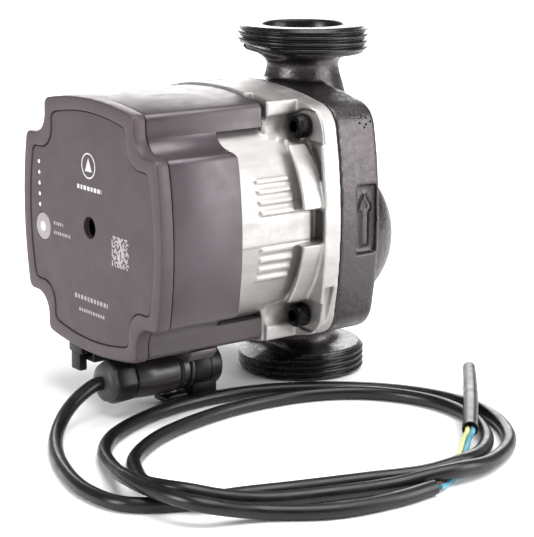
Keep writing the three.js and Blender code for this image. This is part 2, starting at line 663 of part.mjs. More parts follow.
const plugPlace = [PLUG_X, 0, PLUG_Z];
add(floor, 'power_socket', powerSocket(), BLACK_PLASTIC, plugPlace);
const pinSolid = rodY(0.7, -56, -50.6, 0, 0, 8);
['line_pin', 'earth_pin', 'neutral_pin'].forEach((name, i) => {
  add(floor, name, pinSolid, BRASS, [PLUG_X + PIN_PLACES[i], 0, PLUG_Z]);
});
add(floor, 'plug_body', plugBody(), PLUG_GREY, plugPlace);
add(floor, 'plug_seal', tubeY(6.9, 7.6, -66.4, -65.4, 0, 0, 24), RUBBER, plugPlace);
add(floor, 'plug_boot', plugBoot(), PLUG_GREY, plugPlace);
add(floor, 'plug_latch', plugLatch(), BLACK_PLASTIC, plugPlace);
add(floor, 'signal_socket', signalSocket(), BLACK_PLASTIC, [-20, 0, 12]);
add(floor, 'signal_latch', signalLatch(), BLACK_PLASTIC, [-20, 0, 12]);

add(floor, 'cord', sweep(CORD_ROUTE, CORD_R, 8, 80), CORD_BLACK);
add(floor, 'core_blue', core(1), CORE_BLUE);
add(floor, 'core_brown', core(0), CORE_BROWN);
add(floor, 'core_earth', core(-1), CORE_EARTH);
add(floor, 'sheath_end', sweep(SLEEVE_ROUTE, CORD_R, 8, 8), CORD_BLACK);

export default pump;
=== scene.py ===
import math

import bmesh
import bpy
from mathutils import Matrix, Vector


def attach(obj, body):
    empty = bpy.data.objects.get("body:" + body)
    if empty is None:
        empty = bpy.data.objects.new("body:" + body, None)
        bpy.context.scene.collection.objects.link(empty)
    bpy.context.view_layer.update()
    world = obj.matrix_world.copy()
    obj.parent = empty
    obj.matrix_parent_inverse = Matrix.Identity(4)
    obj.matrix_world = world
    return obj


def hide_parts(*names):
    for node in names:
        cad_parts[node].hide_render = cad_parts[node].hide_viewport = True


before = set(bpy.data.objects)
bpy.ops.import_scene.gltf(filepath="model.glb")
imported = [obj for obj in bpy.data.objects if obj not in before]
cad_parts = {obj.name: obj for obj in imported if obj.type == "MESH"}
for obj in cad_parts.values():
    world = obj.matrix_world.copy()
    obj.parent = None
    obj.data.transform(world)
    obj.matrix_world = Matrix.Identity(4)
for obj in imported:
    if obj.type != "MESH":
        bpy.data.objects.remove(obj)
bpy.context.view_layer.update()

# Sizes are in millimetres and are turned into metres as each mesh is made.
MM = 0.001
SHAFT = (0, 30, 65)        # crossing of the shaft and port axes, in the row frame
FLOOR = (0, 30, 0)         # the floor below that crossing
PLUG = (10, 30, 12)        # the plug's axis
SIGNAL = (-20, 30, 12)     # the signal connector's axis
FAR = 60                   # past every outer face, for cuts that go right through
THROUGH = (-FAR, FAR)

FACE_Y = -93
SEAM_Y = -88
BOX_BACK_Y = -60
TONGUE_BACK_Y = -40
PARTING_Y = -19
RIM_BACK_Y = -1
GAP = 0.3
STATOR_FRONT_Y = TONGUE_BACK_Y + GAP

LOBE_HALF = 29
LOBE_BULGE = 45
LOBE_RISE = 3
NOTCH_R = 8
CORNER_R = 2.4
BARREL_R = 42
COLLAR_R = 46
CORD_R = 2.4
CORE_R = 0.85
SCREW_PLACES = [(34, 33.8), (34, -33.8), (-34, -33.8), (-34, 33.8)]


# ---- camera

AZIMUTH, ELEVATION, ROLL = 53.07, 13.17, 0.14    # degrees
CAMERA_PLACE = (0.52873, -0.38351, 0.19476)      # metres
LENS = 122.3
SENSOR_WIDTH = 36


def make_camera():
    azimuth, elevation, roll = (math.radians(a) for a in (AZIMUTH, ELEVATION, ROLL))
    back = Vector((
        math.sin(azimuth) * math.cos(elevation),
        -math.cos(azimuth) * math.cos(elevation),
        math.sin(elevation),
    ))
    level = (-back).cross(Vector((0, 0, 1))).normalized()
    rise = level.cross(-back)
    right = level * math.cos(roll) + rise * math.sin(roll)
    up = rise * math.cos(roll) - level * math.sin(roll)
    data = bpy.data.cameras.new("camera")
    data.lens = LENS
    data.sensor_width = SENSOR_WIDTH
    data.clip_start = 0.01
    camera = bpy.data.objects.new("camera", data)
    bpy.context.scene.collection.objects.link(camera)
    turned = Matrix((right, up, back)).transposed().to_4x4()
    camera.matrix_world = Matrix.Translation(CAMERA_PLACE) @ turned
    bpy.context.scene.camera = camera


# ---- meshes

def new_object(name, verts, faces, origin=SHAFT):
    mesh = bpy.data.meshes.new(name)
    points = [tuple((p + o) * MM for p, o in zip(v, origin)) for v in verts]
    mesh.from_pydata(points, [], faces)
    bm = bmesh.new()
    bm.from_mesh(mesh)
    bmesh.ops.remove_doubles(bm, verts=bm.verts, dist=1e-7)
    bmesh.ops.recalc_face_normals(bm, faces=bm.faces)
    bm.to_mesh(mesh)
    bm.free()
    obj = bpy.data.objects.new(name, mesh)
    bpy.context.scene.collection.objects.link(obj)
    return obj


def loft(name, rings, closed=False, origin=SHAFT):
    """Skins rings of equal length. closed joins the last to the first, or else both ends are capped."""
    count = len(rings[0])
    verts = [p for ring in rings for p in ring]
    faces = []
    last = len(rings) if closed else len(rings) - 1
    for i in range(last):
        a, b = i * count, ((i + 1) % len(rings)) * count
        for j in range(count):
            k = (j + 1) % count
            faces.append((a + j, a + k, b + k, b + j))
    if not closed:
        faces.append(tuple(range(count)))
        faces.append(tuple(range(len(verts) - count, len(verts))))
    return new_object(name, verts, faces, origin)


def circle(r, y, cx=0.0, cz=0.0, segments=48):
    turn = [2 * math.pi * i / segments for i in range(segments)]
    return [(cx + r * math.cos(t), y, cz + r * math.sin(t)) for t in turn]


def lathe_y(name, profile, segments=48, centre=(0, 0), closed=False, origin=SHAFT):
    """A profile of (radius, y) turned about the Y line through centre."""
    rings = [circle(r, y, centre[0], centre[1], segments) for r, y in profile]
    return loft(name, rings, closed, origin)


def lathe_z(name, profile, segments=64):
    """A profile of (radius, z) turned about the port axis."""
    return loft(name, [[(x, z, h) for x, _, z in circle(r, 0, segments=segments)] for r, h in profile])


def prism_y(name, outline, y0, y1, origin=SHAFT):
    return loft(name, [[(x, y, z) for x, z in outline] for y in (y0, y1)], origin=origin)


def prism_x(name, outline, x0, x1, origin=SHAFT):
    """An outline of (y, z) pushed along X."""
    return loft(name, [[(x, y, z) for y, z in outline] for x in (x0, x1)], origin=origin)


def block(name, xs, ys, zs, origin=SHAFT):
    return prism_y(name, [(xs[0], zs[0]), (xs[1], zs[0]), (xs[1], zs[1]), (xs[0], zs[1])], *ys,
                   origin=origin)


def rod(name, r, y0, y1, x=0.0, z=0.0, segments=32):
    return lathe_y(name, [(r, y0), (r, y1)], segments, (x, z))


def remove(objs):
    for obj in objs:
        bpy.data.objects.remove(obj, do_unlink=True)


def bake(obj):
    graph = bpy.context.evaluated_depsgraph_get()
    graph.update()
    mesh = bpy.data.meshes.new_from_object(obj.evaluated_get(graph))
    obj.modifiers.clear()
    obj.data = mesh
    return obj


def joined(objs):
    """One object that holds every mesh of objs, which may overlap."""
    bm = bmesh.new()
    for obj in objs:
        bm.from_mesh(obj.data)
    bm.to_mesh(objs[0].data)
    bm.free()
    remove(objs[1:])
    return objs[0]


def boolean(obj, others, operation="DIFFERENCE", overlapping=True):
    tool = joined(others)
    modifier = obj.modifiers.new("boolean", "BOOLEAN")
    modifier.operation = operation
    modifier.solver = "EXACT"
    modifier.use_self = overlapping
    modifier.object = tool
    bake(obj)
    remove([tool])
    return obj


def bevel(obj, width, segments=2, angle=35):
    modifier = obj.modifiers.new("bevel", "BEVEL")
    modifier.width = width * MM
    modifier.segments = segments
    modifier.limit_method = "ANGLE"
    modifier.angle_limit = math.radians(angle)
    modifier.use_clamp_overlap = True
    return bake(obj)


def cast(obj, voxel, rounds, keep):
    """Fuses overlapping shells into one skin with soft inner and outer corners, as a casting has."""
    remesh = obj.modifiers.new("remesh", "REMESH")
    remesh.mode = "VOXEL"
    remesh.voxel_size = voxel * MM
    smooth = obj.modifiers.new("smooth", "SMOOTH")
    smooth.factor = 0.5
    smooth.iterations = rounds
    thin = obj.modifiers.new("thin", "DECIMATE")
    thin.ratio = keep
    return bake(obj)


def shade(obj, angle):
    for polygon in obj.data.polygons:
        polygon.use_smooth = True
    obj.data.set_sharp_from_angle(angle=math.radians(angle))


def settle(obj, body, material, nodes=(), angle=40):
    obj.data.materials.clear()
    obj.data.materials.append(material)
    shade(obj, angle)
    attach(obj, body)
    if nodes:
        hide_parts(*nodes)
    return obj


# ---- tubes along a smooth line

def smooth_line(points, per_span=10):
    """Centripetal Catmull-Rom line through the points, the same as the CAD lead's."""
    pts = [Vector(p) for p in points]
    pts = [2 * pts[0] - pts[1]] + pts + [2 * pts[-1] - pts[-2]]
    line = []
    for i in range(1, len(pts) - 2):
        p = pts[i - 1:i + 3]
        t = [0.0]
        for a, b in zip(p, p[1:]):
            t.append(t[-1] + (b - a).length ** 0.5)
        for step in range(per_span):
            s = t[1] + (t[2] - t[1]) * step / per_span
            a = [p[k] * ((t[k + 1] - s) / (t[k + 1] - t[k])) + p[k + 1] * ((s - t[k]) / (t[k + 1] - t[k]))
                 for k in range(3)]
            b = [a[k] * ((t[k + 2] - s) / (t[k + 2] - t[k])) + a[k + 1] * ((s - t[k]) / (t[k + 2] - t[k]))
                 for k in range(2)]
            line.append(b[0] * ((t[2] - s) / (t[2] - t[1])) + b[1] * ((s - t[1]) / (t[2] - t[1])))
    line.append(pts[-2])
    return line


def tube(name, line, radii, sides=20):
    """A round tube along line. radii gives one radius or one per point of the line."""
    if not isinstance(radii, list):
        radii = [radii] * len(line)
    rings = []
    side = None
    for i, point in enumerate(line):
        ahead = (line[min(i + 1, len(line) - 1)] - line[max(i - 1, 0)]).normalized()
        if side is None:
            side = ahead.cross(Vector((0, 0, 1))).normalized()
        side = (side - ahead * side.dot(ahead)).normalized()
        up = side.cross(ahead)
        ring = []
        for j in range(sides):
            angle = 2 * math.pi * j / sides
            ring.append(tuple(point + radii[i] * (math.cos(angle) * side + math.sin(angle) * up)))
        rings.append(ring)
    return loft(name, rings, origin=FLOOR)


# ---- materials

NOISE_LOW, NOISE_HIGH = 0.3, 0.7     # most of the noise's values lie between these


def hex_colour(text):
    """A linear colour from the usual eight bits a channel."""
    parts = [int(text[i:i + 2], 16) / 255 for i in (0, 2, 4)]
    return [c / 12.92 if c <= 0.04045 else ((c + 0.055) / 1.055) ** 2.4 for c in parts] + [1.0]


class Look:
    """A Principled material with noise driving its colour, roughness and bump."""

    def __init__(self, name, roughness, metallic=0.0, specular=0.5):
        self.material = bpy.data.materials.new(name)
        self.material.use_nodes = True
        self.tree = self.material.node_tree
        self.shader = self.tree.nodes["Principled BSDF"]
        self.shader.inputs["Roughness"].default_value = roughness
        self.shader.inputs["Metallic"].default_value = metallic
        self.shader.inputs["Specular IOR Level"].default_value = specular
        self.coords = self.tree.nodes.new("ShaderNodeTexCoord").outputs["Object"]
        self.bump_normal = None

    def link(self, a, b):
        self.tree.links.new(a, b)

    def noise(self, size, detail=3.0, rough=0.55, stretch=None):
        """Noise with features of about size millimetres, stretched along the axes if asked."""
        source = self.coords
        if stretch:
            mapping = self.tree.nodes.new("ShaderNodeMapping")
            mapping.inputs["Scale"].default_value = stretch
            self.link(source, mapping.inputs["Vector"])
            source = mapping.outputs["Vector"]
        node = self.tree.nodes.new("ShaderNodeTexNoise")
        node.inputs["Scale"].default_value = 1 / (size * MM)
        node.inputs["Detail"].default_value = detail
        node.inputs["Roughness"].default_value = rough
        self.link(source, node.inputs["Vector"])
        return node.outputs["Fac"]

    def ramp(self, value, low, high):
        node = self.tree.nodes.new("ShaderNodeMapRange")
        node.inputs["From Min"].default_value = NOISE_LOW
        node.inputs["From Max"].default_value = NOISE_HIGH
        node.inputs["To Min"].default_value = low
        node.inputs["To Max"].default_value = high
        self.link(value, node.inputs["Value"])
        return node.outputs["Result"]

    def colour(self, low, high, value):
        node = self.tree.nodes.new("ShaderNodeValToRGB")
        node.color_ramp.elements[0].position = NOISE_LOW
        node.color_ramp.elements[1].position = NOISE_HIGH
        node.color_ramp.elements[0].color = hex_colour(low)
        node.color_ramp.elements[1].color = hex_colour(high)
        self.link(value, node.inputs["Fac"])
        self.link(node.outputs["Color"], self.shader.inputs["Base Color"])
        return self

    def roughness(self, value, low, high):
        self.link(self.ramp(value, low, high), self.shader.inputs["Roughness"])
        return self

    def bump(self, value, depth):
        """Bump of about depth millimetres on top of any earlier one."""
        node = self.tree.nodes.new("ShaderNodeBump")
        node.inputs["Strength"].default_value = 1.0
        node.inputs["Distance"].default_value = depth * MM
        self.link(value, node.inputs["Height"])
        if self.bump_normal:
            self.link(self.bump_normal, node.inputs["Normal"])
        self.bump_normal = node.outputs["Normal"]
        self.link(self.bump_normal, self.shader.inputs["Normal"])
        return self


def moulded(name, low, high, roughness, grain=0.35, depth=0.012, specular=0.5, tint=(1, 1, 1)):
    """Moulded plastic: faint mottling, a fine spark-eroded grain and uneven gloss."""
    look = Look(name, roughness, specular=specular)
    fine = look.noise(grain, 2.0)
    look.colour(low, high, look.noise(14, 4.0))
    look.roughness(look.noise(6, 3.0), roughness - 0.06, roughness + 0.06)
    look.bump(fine, depth)
    look.shader.inputs["Specular Tint"].default_value = (*tint, 1)
    return look.material


def bare_metal(name, low, high, roughness, grain=0.4, depth=0.01, stretch=None):
    look = Look(name, roughness, metallic=1.0)
    look.colour(low, high, look.noise(5, 4.0, stretch=stretch))
    look.roughness(look.noise(2.5, 3.0, stretch=stretch), roughness - 0.08, roughness + 0.08)
    look.bump(look.noise(grain, 2.0, stretch=stretch), depth)
    return look.material


def black_casting():
    """Black electrocoat over sand-cast iron: wavy skin, pores and a satin gloss."""
    look = Look("black_iron", 0.3, specular=0.8)
    look.shader.inputs["Specular Tint"].default_value = (1, 0.9, 0.94, 1)
    pores = look.noise(1.1, 4.0, 0.6)
    look.colour("0a090a", "121011", look.noise(9, 4.0))
    look.roughness(look.noise(2.2, 4.0), 0.24, 0.42)
    look.bump(look.noise(3.4, 2.0), 0.2)
    look.bump(pores, 0.16)
    return look.material


def black_machined():
    look = Look("black_thread", 0.3, specular=0.35)
    look.colour("090809", "100f10", look.noise(6, 3.0))
    look.roughness(look.noise(1.5, 3.0), 0.2, 0.36)
    look.bump(look.noise(0.8, 2.0), 0.008)
    return look.material


def cast_aluminium():
    """Bare die casting: bright satin skin with faint flow marks and fine grain."""
    look = Look("cast_aluminium", 0.4, metallic=1.0)
    look.colour("a9a6a4", "bebbb9", look.noise(7, 5.0, stretch=(1, 0.4, 1)))
    look.roughness(look.noise(2.2, 4.0), 0.46, 0.6)
    look.bump(look.noise(3.0, 2.0), 0.02)
    look.bump(look.noise(0.45, 3.0), 0.01)
    return look.material


def cord_skin():
    """PVC sheath: smooth, slightly wavy and faintly scuffed."""
    look = Look("cord_black", 0.34, specular=0.42)
    look.colour("060506", "0d0c0d", look.noise(18, 5.0))
    look.roughness(look.noise(6, 3.0), 0.26, 0.42)
    look.bump(look.noise(6, 2.0), 0.03)
    return look.material


MATERIALS = {
    "cover_grey": moulded("cover_grey", "433a3d", "4a4044", 0.46, grain=0.3, depth=0.01, specular=0.45,
                          tint=(1, 0.9, 0.95)),
    "panel_grey": moulded("panel_grey", "443a3e", "4a4043", 0.6, grain=0.5, depth=0.004),
    "box_grey": moulded("box_grey", "2d2428", "372e33", 0.4, grain=0.5, depth=0.025, specular=0.85,
                        tint=(1, 0.93, 0.97)),
    "black_plastic": moulded("black_plastic", "0e0d0e", "161416", 0.38, grain=0.6, specular=0.35),
    "plug_grey": moulded("plug_grey", "1f1a1b", "2c2626", 0.34, grain=0.8, depth=0.02, specular=0.65),
    "nose_grey": moulded("nose_grey", "3a3738", "444142", 0.45, grain=0.8, depth=0.02, specular=0.35),
    "light_button": moulded("light_button", "8d868b", "989196", 0.45, grain=0.5, depth=0.004),
    "clear_guide": moulded("clear_guide", "d9dcde", "eef0f1", 0.2, grain=1.5, depth=0.003),
    "print_white": moulded("print_white", "c9c4c6", "d3cfd0", 0.6, grain=0.3, depth=0.003),
    "print_grey": moulded("print_grey", "9d9597", "a79fa1", 0.6, grain=0.3, depth=0.003),
    "cast_aluminium": cast_aluminium(),
    "black_iron": black_casting(),
    "black_thread": black_machined(),
    "black_screw": bare_metal("black_screw", "1a1919", "272525", 0.34, grain=0.3),
    "steel": bare_metal("steel", "a9acb0", "c0c3c6", 0.3),
    "lamination": bare_metal("lamination", "5f6266", "767a7e", 0.45, grain=0.5, depth=0.03,
                             stretch=(0.2, 3, 0.2)),
    "copper": bare_metal("copper", "a9592a", "c27440", 0.3, grain=0.5, depth=0.08, stretch=(1, 0.2, 3)),
    "graphite": moulded("graphite", "28292b", "323336", 0.55),
    "ceramic": moulded("ceramic", "e2dccf", "ece7dc", 0.25, grain=0.8, depth=0.003),
    "magnet": bare_metal("magnet", "37383b", "434448", 0.45),
    "impeller_plastic": moulded("impeller_plastic", "453f38", "504a43", 0.5, grain=0.9, depth=0.02),
    "rubber": moulded("rubber", "101010", "171717", 0.7, grain=0.5, depth=0.02),
    "board": moulded("board", "1a5335", "216441", 0.4, grain=1.2, depth=0.03),
    "brass": bare_metal("brass", "b8903c", "cda653", 0.28),
    "cord_black": cord_skin(),
    "core_blue": moulded("core_blue", "4a8ea3", "5d9db0", 0.35, grain=0.8, depth=0.01),
    "core_brown": moulded("core_brown", "63391f", "71452a", 0.35, grain=0.8, depth=0.01),
    "core_yellow": moulded("core_yellow", "c6cc86", "d0d698", 0.35, grain=0.8, depth=0.01),
    "core_green": moulded("core_green", "6fae74", "7eb982", 0.35, grain=0.8, depth=0.01),
}


# ---- the lead, its cores and the loose end of its sheath

F = CORD_R + 0.1
CORD_ROUTE = [
    (10, -95.5, 12), (10, -97.5, 12), (12, -104.8, 9.9), (15.3, -111.5, 7.3), (20.6, -118.1, 4.6),
    (31.5, -126.4, 2.6), (54.1, -136.9, F), (77.2, -142.1, F), (92.8, -139.1, F), (102.2, -126, F),
    (106.6, -107.5, F), (112.8, -88.8, F), (119.2, -67.8, F), (127, -48.6, 3.4), (129.6, -36.1, 5.1),
    (121.9, -20.3, 3.4), (108.9, -6.6, F), (88.2, 3.3, F), (68, 2.9, F), (49.5, -8, F), (39.4, -25, F),
    (35.8, -48.7, F), (38.4, -71.6, F), (47.3, -97, F), (61, -114.7, F), (74.3, -122.1, 3),
    (87, -127.6, 5), (97.8, -128.9, 7.2), (105.6, -124.6, 7.3), (110.6, -115.2, 4.8), (115.4, -101.6, F),
    (122.7, -83.3, F), (128.6, -62.3, 2.7), (132.1, -52.4, 4.2), (134.8, -42.5, 5.1), (132.3, -27.4, 3.6),
    (118.2, -4.6, F), (95.7, 9, F), (73.7, 10.6, F), (52, 0.8, F), (33, -20.8, F), (22.2, -46.7, F),
    (23.4, -78.4, F), (35.9, -106.2, F), (48.2, -117.9, F), (65.3, -126, 3.9), (87.4, -133.3, 7.4),
    (102.9, -133.5, 8), (117, -127.7, 7), (123.5, -110.6, 3), (134.6, -91.9, F), (138.1, -71, F),
    (137.3, -55.1, F),
]
CORE_ROUTE = [
    (136.9, -53.4, 2.2), (134.2, -48.6, 1), (128, -38.4, 0.9), (121.9, -30.4, 0.9),
    (118, -25.6, 1.8), (115.9, -22.7, 3.5), (115, -20.8, 5.6), (114.8, -19.4, 7.2), (111.6, -16.4, 7.8),
]
SLEEVE_ROUTE = [
    (113.7, -18.3, 7.8), (99.6, -4.8, 7.8), (85.7, 8.2, 7.8), (72.2, 20.5, 7.6), (58.2, 33.1, 6.6),
]
CORE_SHIFTS = {"core_blue": (0.7, 0.52), "core_brown": (-0.75, 1.0), "core_earth": (-0.7, -0.52)}
CORE_SIDES = 16
SLEEVE_WALL = 0.35
SLEEVE_SWELL = 0.25
SLEEVE_MOUTH = 6


def stripe(core, width=5, twist=6):
    """Winds a green stripe round the yellow core, one column over every few rings."""
    core.data.materials.append(MATERIALS["core_green"])
    for polygon in core.data.polygons:
        ring, column = divmod(polygon.index, CORE_SIDES)
        if (column + ring // twist) % CORE_SIDES < width:
            polygon.material_index = 1


def make_cores():
    cores = []
    for name, shift in CORE_SHIFTS.items():
        line = smooth_line([Vector(p) + Vector((*shift, 0)) for p in CORE_ROUTE], 8)
        core = tube(name + "_wire", line, CORE_R, CORE_SIDES)
        look = "core_yellow" if name == "core_earth" else name
        settle(core, "pump", MATERIALS[look], [name])
        if name == "core_earth":
            stripe(core)
        cores.append(core)
    return cores


def make_cord():
    line = smooth_line(CORD_ROUTE)
    cord = settle(tube("lead", line, CORD_R), "pump", MATERIALS["cord_black"], ["cord"])


def make_sleeve():
    """The loose end of sheath, hollow and a little swollen at the mouth that the cores run into."""
    line = smooth_line(SLEEVE_ROUTE, 8)
    swelling = [CORD_R + SLEEVE_SWELL * (1 - i / (len(line) - 1)) for i in range(len(line))]
    sleeve = tube("loose_sheath", line, swelling)
    ahead = (line[1] - line[0]).normalized()
    mouth = tube("mouth", [line[0] - ahead, line[0] + ahead * SLEEVE_MOUTH], CORD_R - SLEEVE_WALL)
    boolean(sleeve, [mouth], overlapping=False)
    return settle(sleeve, "pump", MATERIALS["cord_black"], ["sheath_end"])


# ---- outlines

def arc(cx, cz, r, start, end, steps):
    turn = [math.radians(start + (end - start) * i / steps) for i in range(steps + 1)]
    return [(cx + r * math.cos(t), cz + r * math.sin(t)) for t in turn]


def bezier(a, b, c, steps):
    points = []
    for i in range(steps + 1):
        t = i / steps
        points.append(tuple((1 - t) ** 2 * p + 2 * t * (1 - t) * q + t * t * r for p, q, r in zip(a, b, c)))
    return points


def cross_outline(inset=0.0):
    """Four lobes with bulged edges and a round notch at each corner."""
    half = LOBE_HALF - inset
    bulge_r = (LOBE_RISE ** 2 + half ** 2) / (2 * LOBE_RISE)

    def edge(x):
        return LOBE_BULGE - inset - bulge_r + math.sqrt(bulge_r ** 2 - x ** 2)

    eighth = [(half * t, edge(half * t)) for t in (0, 0.25, 0.5, 0.75)]
    eighth += bezier((half - CORNER_R, edge(half - CORNER_R)), (half, edge(half)),
                     (half, edge(half) - CORNER_R), 5)
    notch = arc(half + NOTCH_R, half + NOTCH_R, NOTCH_R, 180, 270, 9)
    quarter = eighth + notch + [(z, x) for x, z in reversed(eighth)][:-1]
    whole = []
    for _ in range(4):
        whole += quarter
        quarter = [(z, -x) for x, z in quarter]
    return whole


FLANGE_TOP, FLANGE_SIDE = 45.7, 47
TOP_BOW_R, SIDE_BOW_R = 146, 170


def flange_outline(inset=0.0):
    """The nearly square flange shared by the stator housing and the pump housing."""
    def top(x):
        return FLANGE_TOP - inset - x * x / (2 * TOP_BOW_R)

    def side(z):
        return FLANGE_SIDE - inset - z * z / (2 * SIDE_BOW_R)

    cx, cz = 36 - inset, 33.5 - inset
    quarter = [(cx * t, top(cx * t)) for t in (0, 0.25, 0.5, 0.75)]
    quarter += bezier((cx, top(cx)), (side(40), top(42)), (side(cz), cz), 8)
    quarter += [(side(cz * t), cz * t) for t in (0.67, 0.33)]
    flip_x = [(-x, z) for x, z in reversed(quarter[1:])]
    flip_z = [(x, -z) for x, z in reversed(quarter[1:])]
    flip_both = [(-x, -z) for x, z in quarter[1:]]
    return quarter + [(side(0), 0)] + flip_z + [(0, -top(0))] + flip_both + [(-side(0), 0)] + flip_x


def inset_loft(name, outline, rings):
    """A loft through outline(inset) at each (inset, y)."""
    return loft(name, [[(x, y, z) for x, z in outline(inset)] for inset, y in rings])


# ---- pump housing

PORT_HALF = 65
THREAD_R = 23.75
THREAD_PITCH = 2.309
THREAD_DEPTH = 0.9
THREAD_START = 0.7
THREAD_END = 9.4
THREAD_FADE_IN = 0.7
THREAD_FADE_OUT = 0.9
THREAD_ROUNDING = 1.6
RING_SEGMENTS = 144
DOME_R = (32, 26, 30)
DOME_CENTRE = (0, 7, -13)
DOME_RINGS = 24
RECESS_X = 44.4
PITS = [(-8.6, 34.2), (-7.2, 36.2), (-5.8, 33.6), (-5.3, 35.8), (-3.7, 34.4), (-3.4, 36.9), (-6.6, 32.6)]


def facet(sign):
    """The slanted cut that clears the motor side of each port's collar."""
    high = sign * (PORT_HALF - 12)
    verts = []
    for x in (-30, 0, 30):
        lean = 0.1 * x if x < 0 else 0
        for y in (-30, -13):
            verts.append((x, y, sign * (PORT_HALF - (6.2 + 0.36 * (y + 23.9) + lean))))
    verts += [(x, y, high) for x in (-30, 0, 30) for y in (-30, -13)]
    low = [(0, 1, 3, 2), (2, 3, 5, 4)]
    top = [tuple(i + 6 for i in face) for face in low]
    sides = [(0, 2, 8, 6), (2, 4, 10, 8), (1, 3, 9, 7), (3, 5, 11, 9), (0, 1, 7, 6), (4, 5, 11, 10)]
    return new_object("facet", verts, low + top + sides)


def bore(sign):
    depths = [(15, -1), (15, 3), (10, 16), (9.5, 27)]
    return lathe_z("bore", [(r, sign * (PORT_HALF - s)) for r, s in depths], 48)


def neck(sign):
    depths = [
        (21.4, 7), (22.6, 9.6), (22.2, 10.4), (17, 10.9), (14.9, 11.7), (13.6, 13), (13.2, 14.6),
        (13.7, 17.6), (14.9, 21.5), (16.2, 26.5), (17, 32), (16.8, 40), (14, 48), (9, 56),
    ]
    return lathe_z("neck", [(r, sign * (PORT_HALF - s)) for r, s in depths])


def dome():
    """The rounded belly of the volute, as stacked ellipses."""
    rings = []
    for i in range(1, DOME_RINGS):
        angle = math.pi * i / DOME_RINGS
        r, along = math.sin(angle), -math.cos(angle)
        rings.append([(DOME_CENTRE[0] + DOME_R[0] * x, DOME_CENTRE[1] + DOME_R[1] * along,
                       DOME_CENTRE[2] + DOME_R[2] * z) for x, _, z in circle(r, 0)])
    return loft("dome", rings)


def up_arrow():
    """A raised arrow whose inside is sunk, so that its edge stands as a ridge."""
    outline = [(-8.4, -9.2), (-5.6, -9.2), (-5.6, 3.4), (-3.8, 3.4), (-7, 9.6), (-10.2, 3.4), (-8.4, 3.4)]
    arrow = prism_x("arrow", outline, RECESS_X - 1, RECESS_X + 1.1)
    inside = [(-7.7, -8.4), (-6.3, -8.4), (-6.3, 4.2), (-5.2, 4.2), (-7, 7.9), (-8.8, 4.2), (-7.7, 4.2)]
    boolean(arrow, [prism_x("inside", inside, RECESS_X + 0.2, 50)], overlapping=False)
    return arrow


def pit(y, z):
    """A small round dent in the side of the rim."""
    turn = [math.pi * i / 4 for i in range(8)]
    steps = [(42.2, 0.3), (43.2, 0.45), (50, 0.45)]
    return loft("pit", [[(x, y + r * math.cos(t), z + r * math.sin(t)) for t in turn] for x, r in steps])


def make_pump_housing():
    rings = [(0, PARTING_Y + GAP), (0, -3), (0.35, -1.8), (1.2, RIM_BACK_Y)]
    rim = inset_loft("pump_casting", flange_outline, rings)
    body = joined([rim, dome(), neck(1), neck(-1)])
    recess = block("recess", (RECESS_X, 60), (-11.5, -2.5), (-12, 12.5))
    chamber = rod("chamber", 35, -25, -4.5, segments=64)
    eye = rod("eye", 9.5, -5, 19)
    holes = [rod("hole", 2.8, -25, -5.5, x, z, 24) for x, z in SCREW_PLACES]
    boolean(body, [recess, chamber, eye, bore(1), bore(-1), facet(1), facet(-1), *holes])
    casting = cast(joined([body, up_arrow()]), voxel=0.6, rounds=3, keep=0.3)
    boolean(casting, [pit(y, z) for y, z in PITS], overlapping=False)
    settle(casting, "pump", MATERIALS["black_iron"], ["pump_housing"], angle=60)
    for sign in (1, -1):
        make_port_ring(sign)


def thread_radius(s, turn):
    """The collar's radius at a depth and a share of a turn: a round ridge that winds and fades out."""
    fade = max(0, min(1, (s - THREAD_START) / THREAD_FADE_IN, (THREAD_END - s) / THREAD_FADE_OUT))
    ridge = 0.5 - 0.5 * math.cos(2 * math.pi * (s / THREAD_PITCH - turn))
    return THREAD_R - THREAD_DEPTH * (1 - (1 - (1 - ridge) ** THREAD_ROUNDING) * fade)


def make_port_ring(sign):
    """The machined and threaded collar of a port, as rings of (radius, depth)."""
    mouth = [(11.9, 11.4), (14.6, 4), (15, 3), (15, 0.4), (15.4, 0), (22.1, 0), (22.55, 0.3)]
    root = [(22.2, 9.8), (21.6, 10.2), (15, 10.6), (12.4, 11.7)]
    steps = 44
    rings = [[place] * RING_SEGMENTS for place in mouth]
    for i in range(steps + 1):
        s = THREAD_START + (THREAD_END - THREAD_START) * i / steps
        rings.append([(thread_radius(s, j / RING_SEGMENTS), s) for j in range(RING_SEGMENTS)])
    rings += [[place] * RING_SEGMENTS for place in root]
    turns = [2 * math.pi * j / RING_SEGMENTS for j in range(RING_SEGMENTS)]
    placed = [[(r * math.cos(t), r * math.sin(t), sign * (PORT_HALF - s)) for (r, s), t in zip(ring, turns)]
              for ring in rings]
    ring = loft("outlet_thread" if sign > 0 else "inlet_thread", placed, closed=True)
    boolean(ring, [facet(sign)], overlapping=False)
    settle(ring, "pump", MATERIALS["black_thread"], angle=70)


# ---- stator housing

RIB_ANGLES = (9, 14, 19, 24)
RIB_Y = -42.5
RIB_HALF = 7.1
RIB_R = 0.8
COLLAR_MIDDLES = (26, -26, 154, 206)
POCKET_R = 5.7


def collar(middle):
    outer = arc(0, 0, COLLAR_R, middle - 18, middle + 18, 12)
    inner = arc(0, 0, BARREL_R - 2, middle + 18, middle - 18, 12)
    return prism_y("collar", outer + inner, -34.3, -22)


def collar_groove(middle):
    """An undercut below the front edge of a collar."""
    outer = arc(0, 0, COLLAR_R - 1.4, middle - 17.2, middle + 17.2, 12)
    inner = arc(0, 0, BARREL_R, middle + 17.2, middle - 17.2, 12)
    return prism_y("groove", outer + inner, -36, -31.4)


